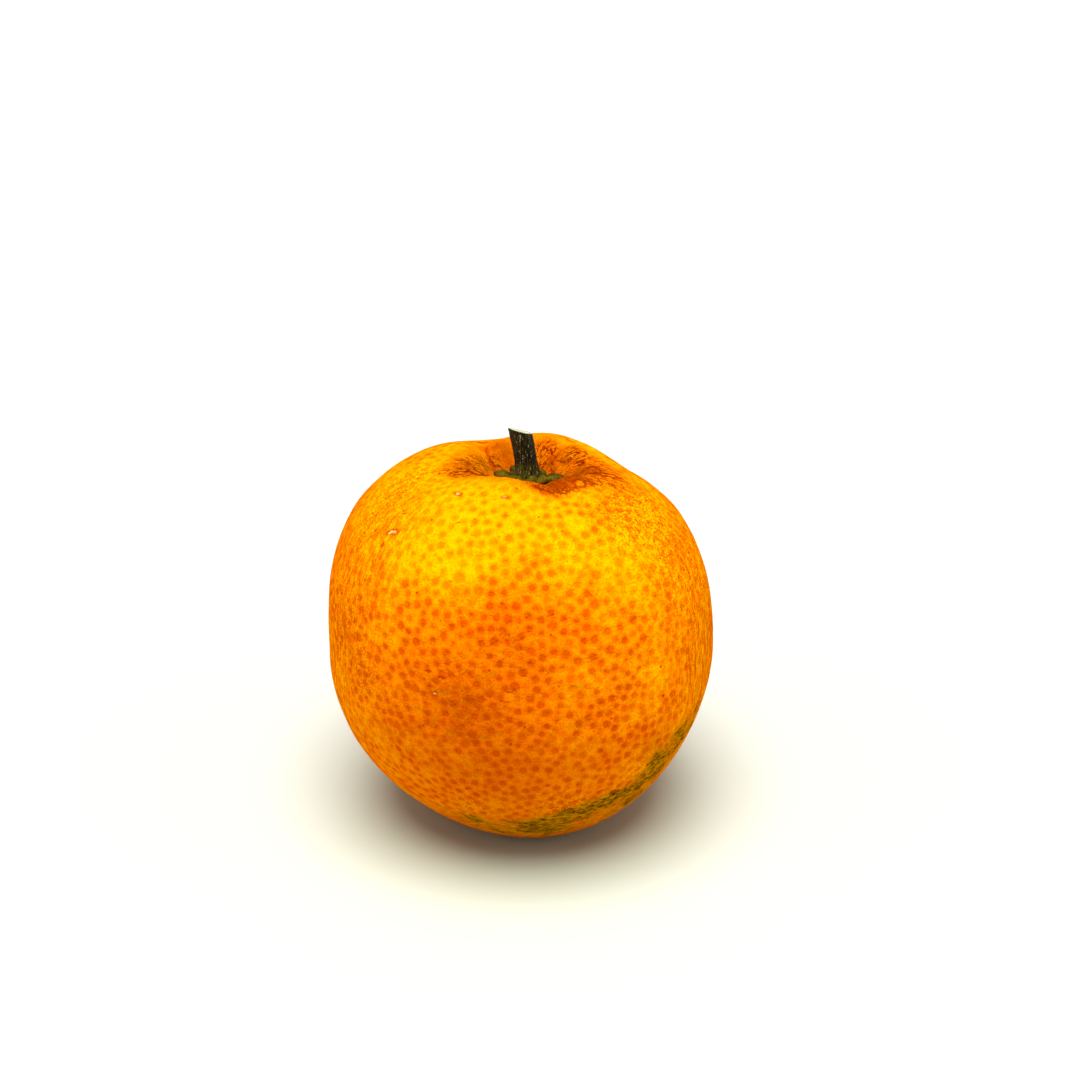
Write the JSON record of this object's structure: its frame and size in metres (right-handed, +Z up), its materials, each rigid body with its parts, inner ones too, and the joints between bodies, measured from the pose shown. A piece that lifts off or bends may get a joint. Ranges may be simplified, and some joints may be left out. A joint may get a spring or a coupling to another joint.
{
  "type": "mandarin orange",
  "caption": "Ripe loose-skinned mandarin orange with a puffed, creased shoulder, a green star calyx in the stem hollow and a short cut woody stem; it rests on a flattened tip.",
  "frame": {"origin": "on the surface the fruit rests on, under the middle of the whole part", "axes": "+Z up through the stem end; +Y to the back as pictured; +X to the right"},
  "size_m": [0.0614, 0.0622, 0.0659],
  "materials": {
    "peel": "satin citrus peel with oil-gland pits",
    "calyx": "dull green plant tissue",
    "stem": "rough green-brown bark, pale cut end"
  },
  "bodies": {
    "root": {"fruit": "peel", "calyx": "calyx", "stem": "stem"}
  },
  "joints": []
}
